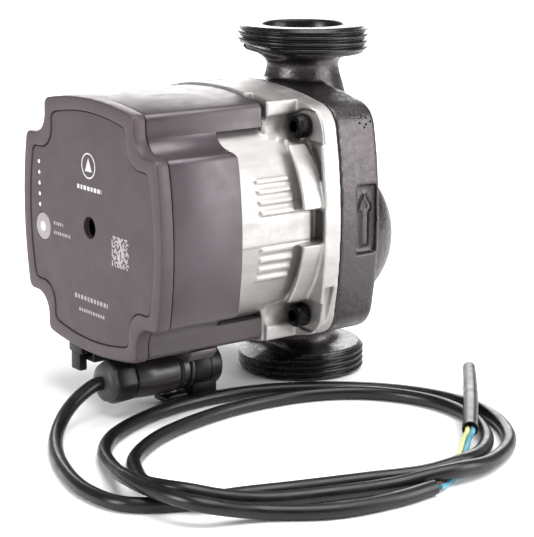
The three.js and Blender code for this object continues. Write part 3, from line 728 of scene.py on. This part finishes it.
def flange_hollow(side):
    """The two wedge-shaped hollows between the collars and the flange's edge on one side."""
    depth = (-30, -20)
    hollow = prism_y("hollow", flange_outline(1.8), -28, -22.4)
    kept = rod("collars", COLLAR_R + 0.1, *depth, segments=96)
    slant = [(-31, 32), (-27.6, 32), (-24, 8), (-24, -8), (-27.6, -32), (-31, -32)]
    boolean(kept, [prism_x("slant", slant, *THROUGH)], "INTERSECT", overlapping=False)
    boolean(hollow, [
        kept,
        rod("core", BARREL_R + 0.2, -31, -19, segments=96),
        block("middle", THROUGH, depth, (-7, 7)),
        block("above", THROUGH, depth, (28.2, FAR)),
        block("below", THROUGH, depth, (-FAR, -14)),
        block("other", (0, -FAR * side), depth, THROUGH),
    ])
    return hollow


def cooling_rib(side, angle):
    """A low bar with round ends along the barrel, turned about the shaft."""
    outline = arc(RIB_Y + RIB_HALF, 0, RIB_R, -90, 90, 6) + arc(RIB_Y - RIB_HALF, 0, RIB_R, 90, 270, 6)
    bar = prism_x("rib", outline, BARREL_R - 1.5, BARREL_R + 0.75, origin=(0, 0, 0))
    turn = angle if side > 0 else 180 - angle
    bar.data.transform(Matrix.Rotation(-math.radians(turn), 4, "Y"))
    bar.data.transform(Matrix.Translation(Vector(SHAFT) * MM))
    return bar


def screw_pocket(x, z):
    """Room round a screw head, open to the side."""
    outline = arc(x, z, POCKET_R, 90, 270, 14) + [(x + 30, z - POCKET_R), (x + 30, z + POCKET_R)]
    if x < 0:
        outline = [(2 * x - px, pz) for px, pz in outline]
    return prism_y("pocket", outline, TONGUE_BACK_Y - 3, -25)


def stator_body():
    """Barrel, end blocks, flange plate, collars, ribs and side bands, still overlapping."""
    barrel = rod("stator_casting", BARREL_R, BOX_BACK_Y + GAP, -25, segments=96)
    boolean(barrel, [
        block("room", THROUGH, (-61, STATOR_FRONT_Y), (33.7, FAR)),
        block("room", THROUGH, (-61, STATOR_FRONT_Y), (-FAR, -33.7)),
    ], overlapping=False)
    blocks = prism_y("blocks", flange_outline(), STATOR_FRONT_Y, PARTING_Y)
    boolean(blocks, [
        block("side", (30, FAR), (-50, -10), THROUGH),
        block("side", (-FAR, -30), (-50, -10), THROUGH),
        *[block("gap", xs, (STATOR_FRONT_Y - 1, -38.7), THROUGH) for xs in ((28, FAR), (-FAR, -28))],
    ])
    plate = prism_y("plate", flange_outline(), -26, PARTING_Y)
    collars = [collar(middle) for middle in COLLAR_MIDDLES]
    ribs = [cooling_rib(side, sign * a) for side in (1, -1) for a in RIB_ANGLES for sign in (1, -1)]
    bands = [block("band", xs, (-59, -25), (-4.6, 4.8)) for xs in ((36, 42.15), (-42.15, -36))]
    return joined([barrel, blocks, plate, *collars, *ribs, *bands])


def stator_cuts():
    """The motor's room, its mouth, the screws' places and the openings in the casting."""
    core_room = rod("core_room", 39.3, -64, -28, segments=64)
    flats = [block("flat", THROUGH, (-70, -20), zs) for zs in ((31.6, FAR), (-FAR, -31.6))]
    boolean(core_room, flats, overlapping=False)
    mouth = lathe_y("mouth", [(19.4, -29), (19.4, -22.3), (36.6, -22.3), (36.6, -17)], 64)
    windows = [block("window", xs, (-28.4, -22.5), (-6, 5.2)) for xs in ((36.5, 45.2), (-45.2, -36.5))]
    grooves = [collar_groove(middle) for middle in COLLAR_MIDDLES]
    pockets = [screw_pocket(x, z) for x, z in SCREW_PLACES]
    holes = [rod("hole", 2.8, -30, -10, x, z, 24) for x, z in SCREW_PLACES]
    corner = [(-25, -22.6), (-20.6, -22.2), (-22.7, -37.5), (-23.5, -37.5)]
    corners = [prism_x("corner", corner, side * 42.6, side * FAR) for side in (1, -1)]
    gaps = [block("gap", xs, (STATOR_FRONT_Y - 1, -36.4), (36, FAR)) for xs in ((18, 28.4), (-28.4, -18))]
    slot = block("slot", (-19, -13.5), (-34, -24), (43.2, FAR))
    return [core_room, mouth, slot, *windows, *grooves, *pockets, *holes, *corners, *gaps]


def make_stator_housing():
    body = stator_body()
    boolean(body, stator_cuts())
    boolean(body, [flange_hollow(1), flange_hollow(-1)], overlapping=False)
    casting = cast(body, voxel=0.45, rounds=3, keep=0.3)
    settle(casting, "pump", MATERIALS["cast_aluminium"], ["stator_housing"], angle=60)


# ---- control box

def lobe_ends():
    """Cuts that round off the back edge of each side lobe."""
    r, z = 3.2, 26.1
    y = BOX_BACK_Y - r
    outline = [(-55, 29.5), (y, 29.5), *arc(y, z, r, 90, 0, 6), (-55, z)]
    return [prism_x("lobe_end", [(py, mirror * pz) for py, pz in outline], side * 37, side * FAR)
            for side in (1, -1) for mirror in (1, -1)]


def make_control_box():
    walls = [(1.0, -87.7), (0.45, -87.45), (0.2, -86.9), (0.2, TONGUE_BACK_Y - 0.5), (0.6, TONGUE_BACK_Y)]
    box = inset_loft("control_shell", cross_outline, walls)
    between = block("between", THROUGH, (BOX_BACK_Y, -30), (-34, 34))
    boolean(box, [between, *lobe_ends()])
    inner = inset_loft("inner", cross_outline, [(2.8, -89), (2.8, BOX_BACK_Y - 2.5)])
    can_hole = rod("can_hole", 20.2, -64, -55, segments=64)
    boolean(box, [inner, can_hole])
    bevel(box, 0.55, 2, 50)
    settle(box, "pump", MATERIALS["box_grey"], ["control_box"], angle=35)
    outline = [(4, -42), (28.2, -42), (28.2, -43.6), (26, -46), (6, -46.6), (4, -45)]
    pad = prism_y("box_pad", outline, -70, -59.3)
    settle(bevel(pad, 0.5), "pump", MATERIALS["box_grey"])


PANEL_INSET = 4.6
HOLE_R = 3.9
BUTTON = (-31.4, -4.6)
BUTTON_R = 5
BUTTON_DOT_R = 1.8
LIGHT_X = -33.8
LIGHT_Z = (18.6, 14.7, 10.8, 6.9, 3)
LIGHT_R = 0.8
PRINT_Y = (-92.70, -92.64)


def panel_holes(slack):
    """Holes for the deblocking screw, the button and the lights."""
    depth = (-100, -80)
    holes = [rod("hole", HOLE_R, *depth, segments=48), rod("hole", BUTTON_R + slack, *depth, *BUTTON, 48)]
    holes += [rod("hole", LIGHT_R + slack * 0.5, *depth, LIGHT_X, z, 24) for z in LIGHT_Z]
    return holes


def make_cover():
    rings = [
        (PANEL_INSET, -91.6), (PANEL_INSET, -92.75), (PANEL_INSET - 0.1, -92.95),
        (PANEL_INSET - 0.35, FACE_Y), (0.75, FACE_Y), (0.35, -92.88), (0.1, -92.6), (0, -92.2),
        (0, -88.4), (0.12, -88.1), (0.45, SEAM_Y), (2.8, SEAM_Y), (3, -88.2), (3, -90.4),
    ]
    cover = inset_loft("cover_shell", cross_outline, rings)
    boolean(cover, panel_holes(0.3), overlapping=False)
    settle(cover, "pump", MATERIALS["cover_grey"], ["control_cover"], angle=35)
    sheet_rings = [(5.1, -91.9), (4.95, -92.0), (4.95, -92.5), (5.05, -92.62), (5.25, -92.66)]
    sheet = inset_loft("panel_sheet", cross_outline, sheet_rings)
    boolean(sheet, panel_holes(0.2), overlapping=False)
    settle(sheet, "pump", MATERIALS["panel_grey"], ["front_panel"], angle=35)


def make_button():
    """The button's cap with a plain dot on it."""
    profile = [
        (1.6, -86.4), (1.6, -89.4), (5.9, -89.5), (5.9, -89.9), (5, -90), (5, -92.5), (4.8, -92.8),
        (4.3, -92.88),
    ]
    cap = lathe_y("button_cap", profile, 64, BUTTON)
    settle(cap, "button", MATERIALS["light_button"], ["mode_button"])
    mark = rod("button_mark", BUTTON_DOT_R, -92.93, -92.86, *BUTTON, 40)
    settle(mark, "button", MATERIALS["print_white"])


def make_lights():
    """A clear bar behind the panel with a pin through it for each light."""
    half = 1.5
    bar = block("light_bar", (LIGHT_X - half, LIGHT_X + half), (-87, -85),
                (LIGHT_Z[-1] - half, LIGHT_Z[0] + half))
    profile = [(LIGHT_R, -86), (LIGHT_R, -92.5), (LIGHT_R * 0.8, -92.7), (LIGHT_R * 0.4, -92.78)]
    pins = [lathe_y("pin", profile, 20, (LIGHT_X, z)) for z in LIGHT_Z]
    guide = joined([bevel(bar, 0.3), *pins])
    settle(guide, "pump", MATERIALS["clear_guide"], ["light_guide"])


def dashes(x0, x1, z, height, widths):
    """A broken bar that stands where a line of print would be."""
    marks = []
    x = x0
    while x < x1:
        width = widths[len(marks) % len(widths)]
        marks.append(block("dash", (x, min(x + width, x1)), PRINT_Y, (z, z + height)))
        x += width + height * 0.5
    return marks


def chequer(x, z, size, count):
    """A square of small cells filled by a fixed, meaningless rule."""
    cells = []
    for i in range(count):
        for j in range(count):
            if (i * i * 7 + j * j * 3 + i * j * 5 + i + j) % 11 < 6:
                cells.append(block("cell", (x + size * i, x + size * (i + 1)), PRINT_Y,
                                   (z + size * j, z + size * (j + 1))))
    return cells


def make_prints():
    """Generic marks: a pump symbol, broken bars where print would be, and a chequered square."""
    ring = [(4.5, PRINT_Y[0]), (4.5, PRINT_Y[1]), (4.0, PRINT_Y[1]), (4.0, PRINT_Y[0])]
    symbol = [
        lathe_y("ring", ring, 48, (0, 21.6), closed=True),
        prism_y("wedge", [(-2.2, 19.6), (2.2, 19.6), (0, 24.4)], *PRINT_Y),
        *dashes(-7.6, 8.2, 12.9, 1.5, (1.5, 1.2, 1.7)),
    ]
    settle(joined(symbol), "pump", MATERIALS["print_white"])
    lines = [
        *dashes(-24.2, -17.5, -2.8, 1.2, (0.9, 0.4, 1.0)),
        *dashes(-24.2, -12.5, -6.2, 1.2, (0.9, 0.5, 0.7)),
        *dashes(-10.6, 11, -26.6, 1.6, (1.3, 1.1, 1.5)),
        *dashes(-8, 8.6, -30.9, 1.2, (1.1, 0.8)),
        *chequer(14.2, -10.8, 0.66, 16),
    ]
    settle(joined(lines), "pump", MATERIALS["print_grey"])


# ---- plug, sockets and screws

def make_plug():
    """Nose, gland nut and barrel of the plug."""
    cap = [(2.2, -95.1), (2.7, -95.4), (4.2, -95.3), (5.8, -94.9), (6.6, -94.2), (6.9, -93), (6.9, -88)]
    nose = lathe_y("plug_nose", cap, 56, origin=PLUG)
    settle(nose, "pump", MATERIALS["nose_grey"])
    nut = [
        (5.6, -93), (7.1, -92.9), (7.9, -92), (8.3, -90.6), (8.3, -87.4), (8.1, -85.4), (7.8, -84.6),
        (5, -84.4),
    ]
    grip = bevel(lathe_y("plug_grip", nut, 8, origin=PLUG), 0.7, 3, 20)
    settle(grip, "pump", MATERIALS["black_plastic"], ["plug_boot"])
    body = [
        (6, -84.2), (7.1, -84.1), (7.4, -83.6), (7.7, -78), (7.75, -67.4), (7.5, -66.8), (6.7, -66.6),
        (6.7, -65.2), (7.4, -65), (7.4, -63.6), (6.8, -63.3), (6.8, -62.2), (7.5, -62), (7.7, -61.5),
        (7.7, -60.9), (6, -60.8), (6, -53.6),
    ]
    barrel = lathe_y("plug_barrel", body, 56, origin=PLUG)
    settle(barrel, "pump", MATERIALS["plug_grey"], ["plug_body"])


def make_power_socket():
    profile = [
        (6.4, -60.4), (7.6, -60.5), (7.8, -60.2), (7.8, -54.3), (7.55, -54.1), (7.55, -53.8),
        (7.85, -53.6), (7.85, -50), (7.5, -49.1), (6.6, -48.4), (5.4, -48),
    ]
    socket = joined([
        lathe_y("socket_shell", profile, 56, origin=PLUG),
        bevel(block("web", (-6, 6), (-60.6, -50), (0, 8), PLUG), 0.5),
        bevel(block("foot", (-5, 6), (-60.6, -50.5), (-12, -3), PLUG), 0.6),
    ])
    settle(socket, "pump", MATERIALS["black_plastic"], ["power_socket"])


def make_plug_latch():
    outline = [(-71, -10.4), (-69.6, -11.6), (-62.4, -11.6), (-62.4, -8.1), (-69, -8.1), (-71, -8.8)]
    latch = prism_x("latch_lever", outline, -4, 5, PLUG)
    settle(bevel(latch, 0.4), "pump", MATERIALS["black_plastic"], ["plug_latch"])


def make_signal_socket():
    shell = block("signal_shell", (-7, 7), (-84, -62), (0, 8.4), SIGNAL)
    boolean(shell, [block("cavity", (-5.2, 5.2), (-86, -74), (2, 7.4), SIGNAL)], overlapping=False)
    settle(bevel(shell, 0.6), "pump", MATERIALS["black_plastic"], ["signal_socket"])
    tab = joined([
        bevel(block("signal_tab", (-4.4, 4.4), (-87.6, -76), (3, 6.4), SIGNAL), 0.5),
        bevel(block("signal_lip", (-3, 3), (-87.6, -84.4), (-3.4, 4), SIGNAL), 0.5),
    ])
    settle(tab, "pump", MATERIALS["black_plastic"], ["signal_latch"])


def cap_screw(name, x, z):
    """A socket cap screw whose head is knurled: every other point of its sides stands lower."""
    segments = 72
    knurl_depth = 0.12
    rings = []
    for r, y, depth in [
        (2.5, -7, 0), (2.5, -25.4, 0), (4.0, -25.4, 0), (4.25, -25.7, knurl_depth),
        (4.25, -29.4, knurl_depth), (3.9, -30.1, 0), (3.4, -30.35, 0),
    ]:
        ring = []
        for j in range(segments):
            angle = 2 * math.pi * j / segments
            radius = r - depth * (j % 2)
            ring.append((x + radius * math.cos(angle), y, z + radius * math.sin(angle)))
        rings.append(ring)
    screw = loft(name, rings)
    return boolean(screw, [rod("hex", 2.3, -32, -27.8, x, z, 6)], overlapping=False)


def make_screws():
    for i, (x, z) in enumerate(SCREW_PLACES, 1):
        screw = cap_screw(f"cap_screw_{i}", x, z)
        settle(screw, "pump", MATERIALS["black_screw"], [f"housing_screw_{i}"], angle=30)


# ---- nodes kept from the CAD

KEPT = {
    "board": ["main_board"],
    "black_plastic": ["tact_switch", "power_module"],
    "copper": ["line_choke", *[f"coil_{i}" for i in range(1, 7)]],
    "graphite": ["dc_capacitor", "front_bearing", "rear_bearing"],
    "brass": ["deblock_screw", "deblock_sleeve", "line_pin", "earth_pin", "neutral_pin"],
    "steel": ["deblock_spring", "rotor_can", "bearing_plate", "neck_ring"],
    "rubber": ["deblock_seal", "housing_seal", "plug_seal"],
    "lamination": ["stator_core"],
    "ceramic": ["thrust_bearing", "shaft"],
    "magnet": ["rotor_magnet"],
    "impeller_plastic": ["impeller", "impeller_cover"],
}


def paint_kept_nodes():
    for look, nodes in KEPT.items():
        for node in nodes:
            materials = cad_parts[node].data.materials
            materials.clear()
            materials.append(MATERIALS[look])


# ---- stage

def aimed_light(name, kind, place, target, power):
    data = bpy.data.lights.new(name, kind)
    data.energy = power
    light = bpy.data.objects.new(name, data)
    bpy.context.scene.collection.objects.link(light)
    light.location = place
    light.rotation_euler = (Vector(target) - Vector(place)).to_track_quat("-Z", "Y").to_euler()
    light.visible_camera = False
    return data


def softbox(name, place, target, size, power):
    data = aimed_light(name, "AREA", place, target, power)
    data.shape = "RECTANGLE"
    data.size, data.size_y = size


def make_floor():
    half = 12.0
    mesh = bpy.data.meshes.new("floor")
    mesh.from_pydata([(-half, -half, 0), (half, -half, 0), (half, half, 0), (-half, half, 0)], [],
                     [(0, 1, 2, 3)])
    floor = bpy.data.objects.new("floor", mesh)
    bpy.context.scene.collection.objects.link(floor)
    paper = Look("paper", 0.9, specular=0.1)
    paper.colour("f4f4f4", "fafafa", paper.noise(400, 2.0))
    mesh.materials.append(paper.material)


def make_stage():
    """White floor and background, soft light from above and three softboxes."""
    make_floor()
    world = bpy.data.worlds.new("world")
    bpy.context.scene.world = world
    world.use_nodes = True
    background = world.node_tree.nodes["Background"]
    background.inputs["Color"].default_value = (1, 1, 1, 1)
    background.inputs["Strength"].default_value = 0.32
    bpy.context.scene.view_settings.view_transform = "Standard"
    aim = (0.02, 0.0, 0.07)
    overhead = aimed_light("overhead", "SUN", (0.4, 0.15, 1.5), (0, 0, 0), 3.3)
    overhead.angle = math.radians(50)
    softbox("side", (0.42, 0.31, 0.2), aim, (0.3, 0.36), 2.1)
    softbox("fill", (0.02, -1.05, 0.42), aim, (0.35, 0.5), 8)
    softbox("back", (-0.85, 0.65, 0.45), aim, (1.0, 0.5), 8)


make_camera()
cores = make_cores()
sleeve = make_sleeve()
make_pump_housing()
make_stator_housing()
make_control_box()
make_cover()
make_button()
make_lights()
make_prints()
make_plug()
make_power_socket()
make_plug_latch()
make_signal_socket()
make_screws()
paint_kept_nodes()
make_cord()
make_stage()
